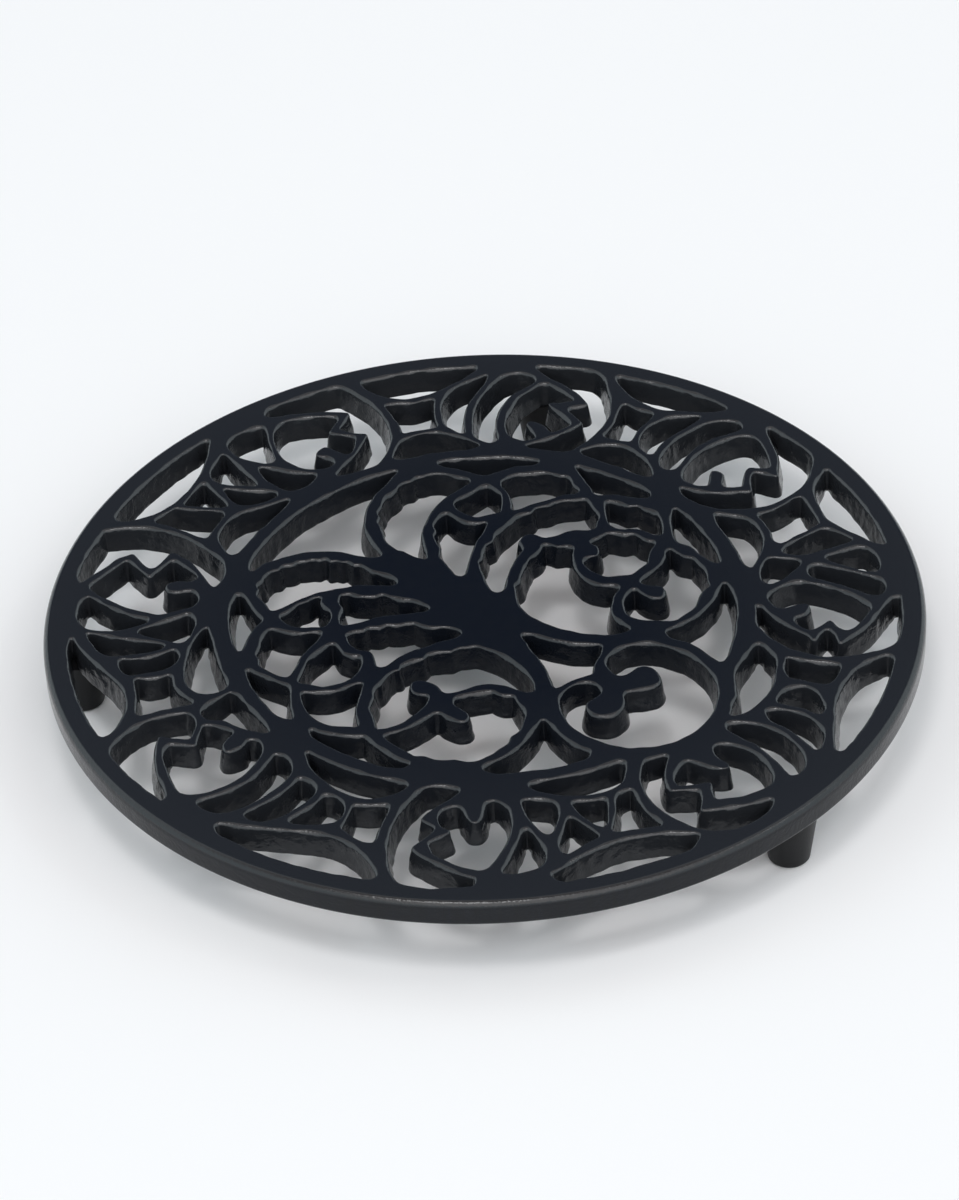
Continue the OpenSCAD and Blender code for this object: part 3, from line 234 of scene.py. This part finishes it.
def spread(nodes, links, value, low, high, fromLow=0.3, fromHigh=0.7):
    mapped = nodes.new("ShaderNodeMapRange")
    mapped.inputs["From Min"].default_value = fromLow
    mapped.inputs["From Max"].default_value = fromHigh
    mapped.inputs["To Min"].default_value = low
    mapped.inputs["To Max"].default_value = high
    links.new(value, mapped.inputs["Value"])
    return mapped.outputs["Result"]


def farFromMiddle(nodes, links, where, reach):
    flat = nodes.new("ShaderNodeVectorMath")
    flat.operation = "MULTIPLY"
    flat.inputs[1].default_value = (1, 1, 0)
    far = nodes.new("ShaderNodeVectorMath")
    far.operation = "LENGTH"
    links.new(where.outputs["Object"], flat.inputs[0])
    links.new(flat.outputs[0], far.inputs[0])
    return spread(nodes, links, far.outputs["Value"], 0, 1, *reach)


def makeEnamel(settings):
    material, nodes, links, shader = freshMaterial("blackEnamel")
    where = nodes.new("ShaderNodeTexCoord")
    grain = addNoise(nodes, links, where, settings["grainScale"], settings["grainDetail"])
    lumps = addNoise(nodes, links, where, settings["lumpScale"], settings["lumpDetail"])
    streaks = addNoise(
        nodes, links, where, settings["streakScale"], settings["streakDetail"],
        settings["streakStretch"])
    onSide = farFromMiddle(nodes, links, where, settings["sideFrom"])
    streaked = nodes.new("ShaderNodeMath")
    streaked.operation = "MULTIPLY"
    links.new(onSide, streaked.inputs[0])
    links.new(spread(nodes, links, streaks, 0, 1, *settings["streakFrom"]), streaked.inputs[1])
    plain = blendColours(
        nodes, links, spread(nodes, links, lumps, 0, 1),
        settings["colour"], settings["dustColour"])
    paintedGlare = nodes.new("ShaderNodeMath")      # painted glare, greyer towards the rim; not on the rim's side
    paintedGlare.operation = "SUBTRACT"
    paintedGlare.use_clamp = True
    links.new(farFromMiddle(nodes, links, where, settings["paintedGlareFrom"]), paintedGlare.inputs[0])
    links.new(onSide, paintedGlare.inputs[1])
    # painted light: the enamel is made greyer towards the rim, as glare
    withPaintedGlare = blendColours(nodes, links, paintedGlare.outputs[0], plain, settings["paintedGlareColour"])
    colour = blendColours(nodes, links, streaked.outputs[0], withPaintedGlare, settings["streakColour"])
    links.new(colour, shader.inputs["Base Color"])
    links.new(spread(nodes, links, grain, *settings["roughness"]), shader.inputs["Roughness"])
    # walls and edges are rougher and duller than the flat top
    facing = nodes.new("ShaderNodeNewGeometry")
    split = nodes.new("ShaderNodeSeparateXYZ")
    links.new(facing.outputs["Normal"], split.inputs[0])
    gloss = spread(
        nodes, links, split.outputs["Z"],
        settings["wallSpecular"], settings["specular"], *settings["specularTurn"])
    links.new(gloss, shader.inputs["Specular IOR Level"])
    lumpy = spread(
        nodes, links, split.outputs["Z"],
        settings["wallBump"], settings["topBump"], *settings["lumpTurn"])
    lumpStrength = nodes.new("ShaderNodeMath")
    lumpStrength.operation = "MULTIPLY"
    links.new(lumpy, lumpStrength.inputs[0])
    links.new(spread(nodes, links, onSide, 1, settings["sideBump"], 0, 1), lumpStrength.inputs[1])
    coarse = nodes.new("ShaderNodeBump")
    coarse.inputs["Distance"].default_value = settings["lumpDepth"]
    links.new(lumpStrength.outputs[0], coarse.inputs["Strength"])
    links.new(lumps, coarse.inputs["Height"])
    grainStrength = spread(
        nodes, links, split.outputs["Z"],
        settings["wallBump"], settings["topBump"], *settings["grainTurn"])
    fine = nodes.new("ShaderNodeBump")
    fine.inputs["Distance"].default_value = settings["grainDepth"]
    links.new(grainStrength, fine.inputs["Strength"])
    links.new(grain, fine.inputs["Height"])
    links.new(coarse.outputs["Normal"], fine.inputs["Normal"])
    links.new(fine.outputs["Normal"], shader.inputs["Normal"])
    return material


def makeRubber(settings):
    material, nodes, links, shader = freshMaterial("footRubber")
    where = nodes.new("ShaderNodeTexCoord")
    grain = addNoise(nodes, links, where, settings["grainScale"], settings["grainDetail"])
    colour = blendColours(
        nodes, links, spread(nodes, links, grain, 0, 1),
        settings["colour"], settings["wornColour"])
    links.new(colour, shader.inputs["Base Color"])
    shader.inputs["Specular IOR Level"].default_value = settings["specular"]
    links.new(spread(nodes, links, grain, *settings["roughness"]), shader.inputs["Roughness"])
    bump = nodes.new("ShaderNodeBump")
    bump.inputs["Distance"].default_value = settings["grainDepth"]
    links.new(grain, bump.inputs["Height"])
    links.new(bump.outputs["Normal"], shader.inputs["Normal"])
    return material


blackEnamel = makeEnamel(enamel)
footRubber = makeRubber(rubber)
print("finishes ready")

casting = {
    "sameSpot": 6,             # decimals, points that agree to these are one
    "sameHeight": 1e-5,
    "sameLine": 1e-7,
    "pointStep": 0.0006,       # spacing of the points along an opening
    "cornerTurn": 30,          # degrees, a sharper turn than this is a corner
    "cornerRadius": 0.0009,    # corners of a casting are never quite sharp
    "cornerStep": 15,          # degrees
    "cornerShare": 0.42,       # most of a straight side that one corner takes
    "edgeRadius": 0.0010,      # rounded top edge of the openings
    "edgeShare": 0.8,          # most of a rib's half width that it takes
    "edgeSearch": 2.4,         # how far the next edge is looked for, in radii
    "edgeEvening": 2,          # points on each side that its width is evened over
    "edgeWear": (0.45, 1.0),   # how unevenly it is rounded, as shares of that radius
    "edgeWearScale": 260,
    "edgeWearSwing": 1.1,
    "edgeSteps": 5,
    "undersideRadius": 0.0003,
    "undersideSteps": 2,
    "wallSteps": 7,
    "draft": 0.0010,           # the openings widen towards the top, as a cast one must
    "ripple": 0.00020,         # unevenness of the walls, from the sand
    "rippleScale": 480,
    "rippleRise": 4,           # none at the top edge, and full from a quarter of the depth
    "rimPoints": 512,
    "rimTopRadius": 0.0015,
    "rimBottomRadius": 0.0008,
    "rimSteps": 8,
    "fillScale": 1000,         # the flat faces are filled in millimetres
    "fillInside": 1,           # only between the edges
    "fillNearest": 1e-6,
}


def turned(vector, angle):
    cosine, sine = math.cos(angle), math.sin(angle)
    return np.array((
        vector[0] * cosine - vector[1] * sine, vector[0] * sine + vector[1] * cosine))


# outlines of the openings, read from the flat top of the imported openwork
def findOpenings(node, topZ, settings):
    mesh = node.data
    spots, spotOf = {}, []
    for vertex in mesh.vertices:
        key = tuple(round(value, settings["sameSpot"]) for value in vertex.co)
        spotOf.append(spots.setdefault(key, len(spots)))
    places = list(spots)
    onward = {}     # edges that only one face of the flat top has
    for face in mesh.polygons:
        ring = [spotOf[v] for v in face.vertices]
        if min(places[spot][2] for spot in ring) < topZ - settings["sameHeight"]:
            continue
        for a, b in zip(ring, ring[1:] + ring[:1]):
            if (b, a) in onward:
                del onward[b, a]
            else:
                onward[a, b] = True
    following = {a: b for a, b in onward}
    loops = []
    while following:
        start = min(following)
        loop, here = [], start
        while here in following:
            loop.append(places[here][:2])
            here = following.pop(here)
        loops.append(np.array(loop))
    loops.sort(key=lambda loop: -np.linalg.norm(loop, axis=1).max())
    return loops[1:]     # the first is the openwork's own round edge


# smooth curve through an outline's points, with its sharp corners rounded
def softOutline(corners, settings):
    count = len(corners)
    ahead = np.roll(corners, -1, 0) - corners
    reach = np.linalg.norm(ahead, axis=1)
    along = ahead / reach[:, None]
    before, reachBefore = np.roll(along, 1, 0), np.roll(reach, 1)
    turn = np.arctan2(
        before[:, 0] * along[:, 1] - before[:, 1] * along[:, 0], (before * along).sum(1))
    sharp = np.abs(turn) > math.radians(settings["cornerTurn"])
    heading = (np.roll(corners, -1, 0) - np.roll(corners, 1, 0)) / (reach + reachBefore)[:, None]
    trim = np.where(sharp, np.minimum(
        settings["cornerRadius"] * np.tan(np.abs(turn) / 2),
        settings["cornerShare"] * np.minimum(reach, reachBefore)), 0)
    outline = []
    for i in range(count):
        j = (i + 1) % count
        start = corners[i] + along[i] * trim[i]
        end = corners[j] - along[i] * trim[j]
        length = np.linalg.norm(end - start)
        leave = (along[i] if sharp[i] else heading[i]) * length
        arrive = (along[i] if sharp[j] else heading[j]) * length
        steps = max(1, math.ceil(length / settings["pointStep"]))
        for u in np.arange(steps) / steps:
            outline.append(
                start * (2 * u**3 - 3 * u**2 + 1) + leave * (u**3 - 2 * u**2 + u)
                + end * (3 * u**2 - 2 * u**3) + arrive * (u**3 - u**2))
        if sharp[j]:
            side = math.copysign(1, turn[j])
            radius = trim[j] / math.tan(abs(turn[j]) / 2)
            centre = end + turned(along[i], side * math.pi / 2) * radius
            arcSteps = max(2, math.ceil(math.degrees(abs(turn[j])) / settings["cornerStep"]))
            for k in range(arcSteps):
                outline.append(centre + turned(end - centre, turn[j] * k / arcSteps))
    return np.array(outline)


# directions from an outline into the iron round it
def intoMetal(outline):
    ahead = np.roll(outline, -1, 0) - outline
    ahead /= np.linalg.norm(ahead, axis=1)[:, None]
    course = ahead + np.roll(ahead, 1, 0)
    course /= np.linalg.norm(course, axis=1)[:, None]
    return np.stack((-course[:, 1], course[:, 0]), 1)


# how far each point of an outline can move before it nears another edge
def roomForEdge(outlines, normals, widest, settings):
    searchReach = settings["edgeSearch"] * widest
    around = range(-settings["edgeEvening"], settings["edgeEvening"] + 1)
    tree = kdtree.KDTree(sum(len(outline) for outline in outlines))
    for place, spot in enumerate(spot for outline in outlines for spot in outline):
        tree.insert((spot[0], spot[1], 0), place)
    tree.balance()
    rooms = []
    for outline, inward in zip(outlines, normals):
        room = []
        for spot, normal in zip(outline, inward):
            free = widest
            for other, _, distance in tree.find_range((spot[0], spot[1], 0), searchReach):
                across = (other[0] - spot[0]) * normal[0] + (other[1] - spot[1]) * normal[1]
                if across > settings["sameLine"]:
                    free = min(free, settings["edgeShare"] * distance ** 2 / (2 * across))
            room.append(free)
        room = np.array(room)
        room = np.minimum.reduce([np.roll(room, k) for k in around])
        rooms.append(sum(np.roll(room, k) for k in around) / len(around))
    return rooms


def unevenShare(outline, settings):
    least, most = settings["edgeWear"]
    shares = []
    for spot in outline:
        wear = noise.noise(Vector((spot[0], spot[1], 0)) * settings["edgeWearScale"])
        share = min(1, max(0, 0.5 + settings["edgeWearSwing"] * wear))
        shares.append(least + (most - least) * share)
    return np.array(shares)


# rings of points down a wall, round its top edge and round its bottom edge
def wallRings(outline, inward, height, radii, steps, leans, ripple, settings):
    bottomZ, topZ = height
    topSteps, bottomSteps = steps
    heights = []     # turn of the top rounding, share of the plain wall, turn of the bottom one
    for k in range(topSteps + 1):
        heights.append((math.pi / 2 * k / topSteps, 0, 0))
    for k in range(1, settings["wallSteps"]):
        heights.append((math.pi / 2, k / settings["wallSteps"], 0))
    for k in range(bottomSteps + 1):
        heights.append((math.pi / 2, 1, math.pi / 2 * k / bottomSteps))
    rings = []
    for topTurn, down, bottomTurn in heights:
        points = []
        for spot, normal, topR, bottomR, lean in zip(outline, inward, *radii, leans):
            inset = topR * (1 - math.sin(topTurn)) + bottomR * (1 - math.cos(bottomTurn))
            z = (topZ - topR * (1 - math.cos(topTurn)) - (topZ - bottomZ - topR - bottomR) * down
                 - bottomR * math.sin(bottomTurn))
            if ripple:
                depth = (topZ - z) / (topZ - bottomZ)
                where = Vector((spot[0], spot[1], z)) * settings["rippleScale"]
                risen = min(1, settings["rippleRise"] * depth)
                inset += noise.noise(where) * ripple * risen - lean * depth
            points.append((spot[0] + normal[0] * inset, spot[1] + normal[1] * inset, z))
        rings.append(points)
    return rings


def insideRing(ring, spots):
    x, y = spots[:, 0, None], spots[:, 1, None]
    after = np.roll(ring, -1, 0)
    straddles = (ring[:, 1] > y) != (after[:, 1] > y)
    rise = np.where(after[:, 1] == ring[:, 1], 1, after[:, 1] - ring[:, 1])
    crossing = ring[:, 0] + (y - ring[:, 1]) * (after[:, 0] - ring[:, 0]) / rise
    return (straddles & (x < crossing)).sum(1) % 2 == 1


# triangles of a flat face, between the rim's ring and those of the openings
def fillFlat(edgeRings, settings):
    scale = settings["fillScale"]
    spots, edges, owner = [], [], []
    for number, ring in enumerate(edgeRings):
        first = len(spots)
        spots += [(scale * point[0], scale * point[1]) for point in ring]
        edges += [(first + k, first + (k + 1) % len(ring)) for k in range(len(ring))]
        owner += [number] * len(ring)
    made = geometry.delaunay_2d_cdt(
        [Vector(spot) for spot in spots], edges, [],
        settings["fillInside"], settings["fillNearest"])
    print("casting: crossed edges:", sum(not origin for origin in made[3]))
    backTo = [origin[0] if origin else 0 for origin in made[3]]
    triangles = np.array([[backTo[v] for v in face] for face in made[2]])
    spots, owner = np.array(spots), np.array(owner)
    owners = owner[triangles]
    alone = (owners[:, 0] == owners[:, 1]) & (owners[:, 1] == owners[:, 2])
    middles = spots[triangles].mean(1)
    hollow = np.zeros(len(triangles), bool)
    for number in range(1, len(edgeRings)):     # ring 0 is the rim's
        mine = np.flatnonzero(alone & (owners[:, 0] == number))
        hollow[mine] = insideRing(spots[owner == number], middles[mine])
    return triangles[~hollow].tolist()


def castingWalls(settings):
    bottomZ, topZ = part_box("openwork")[0].z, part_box("openwork")[1].z
    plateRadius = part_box("rim")[1].x
    angles = np.arange(settings["rimPoints"]) * 2 * math.pi / settings["rimPoints"]
    rimLine = np.stack((np.cos(angles), np.sin(angles)), 1) * plateRadius
    rimSame = np.ones(len(rimLine))
    rimRadii = rimSame * settings["rimTopRadius"], rimSame * settings["rimBottomRadius"]
    walls = [wallRings(
        rimLine, intoMetal(rimLine), (bottomZ, topZ), rimRadii,
        (settings["rimSteps"],) * 2, 0 * rimSame, 0, settings)]
    openings = findOpenings(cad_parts["openwork"], topZ, settings)
    outlines = [softOutline(corners, settings) for corners in openings]
    normals = [intoMetal(outline) for outline in outlines]
    rooms = roomForEdge(outlines, normals, settings["edgeRadius"], settings)
    rooms = [room * unevenShare(outline, settings) for outline, room in zip(outlines, rooms)]
    outward = [-inward for inward in normals]
    drafts = roomForEdge(outlines, outward, settings["draft"], settings)
    for outline, inward, room, leans in zip(outlines, normals, rooms, drafts):
        radii = room, np.minimum(room, settings["undersideRadius"])
        walls.append(wallRings(
            outline, inward, (bottomZ, topZ), radii,
            (settings["edgeSteps"], settings["undersideSteps"]), leans, settings["ripple"],
            settings))
    pointCount = sum(len(rings[0]) for rings in walls)
    print("casting:", len(openings), "openings,", pointCount, "points round them and the rim")
    return walls


def buildCasting(settings):
    walls = castingWalls(settings)
    vertices, faces, topIndex, bottomIndex = [], [], [], []
    for rings in walls:
        count = len(rings[0])
        first = len(vertices)
        for ring in rings:
            vertices += ring
        for level in range(len(rings) - 1):
            for k in range(count):
                a = first + level * count + k
                b = first + level * count + (k + 1) % count
                faces.append((a, a + count, b + count, b))
        topIndex += range(first, first + count)
        bottomIndex += range(first + (len(rings) - 1) * count, first + len(rings) * count)
    wallFaces = len(faces)
    for triangle in fillFlat([rings[0] for rings in walls], settings):
        faces.append(tuple(topIndex[v] for v in triangle))
    for triangle in fillFlat([rings[-1] for rings in walls], settings):
        faces.append(tuple(bottomIndex[v] for v in reversed(triangle)))
    print("casting:", len(faces) - wallFaces, "triangles in the flat faces")
    mesh = bpy.data.meshes.new("ironCasting")
    mesh.from_pydata(vertices, [], faces)
    onWall = [number < wallFaces for number in range(len(faces))]
    mesh.polygons.foreach_set("use_smooth", onWall)
    mesh.update()
    piece = bpy.data.objects.new("ironCasting", mesh)
    scene.collection.objects.link(piece)
    mesh.materials.append(blackEnamel)
    return piece


ironCasting = buildCasting(casting)
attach(ironCasting, "root")
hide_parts("openwork", "rim")

# pegs and feet keep their solids, and get the finishes
for name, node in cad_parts.items():
    if name.startswith("peg"):
        node.data.materials.clear()
        node.data.materials.append(blackEnamel)
    if name.startswith("foot"):
        node.data.materials.clear()
        node.data.materials.append(footRubber)
print("pegs and feet finished")
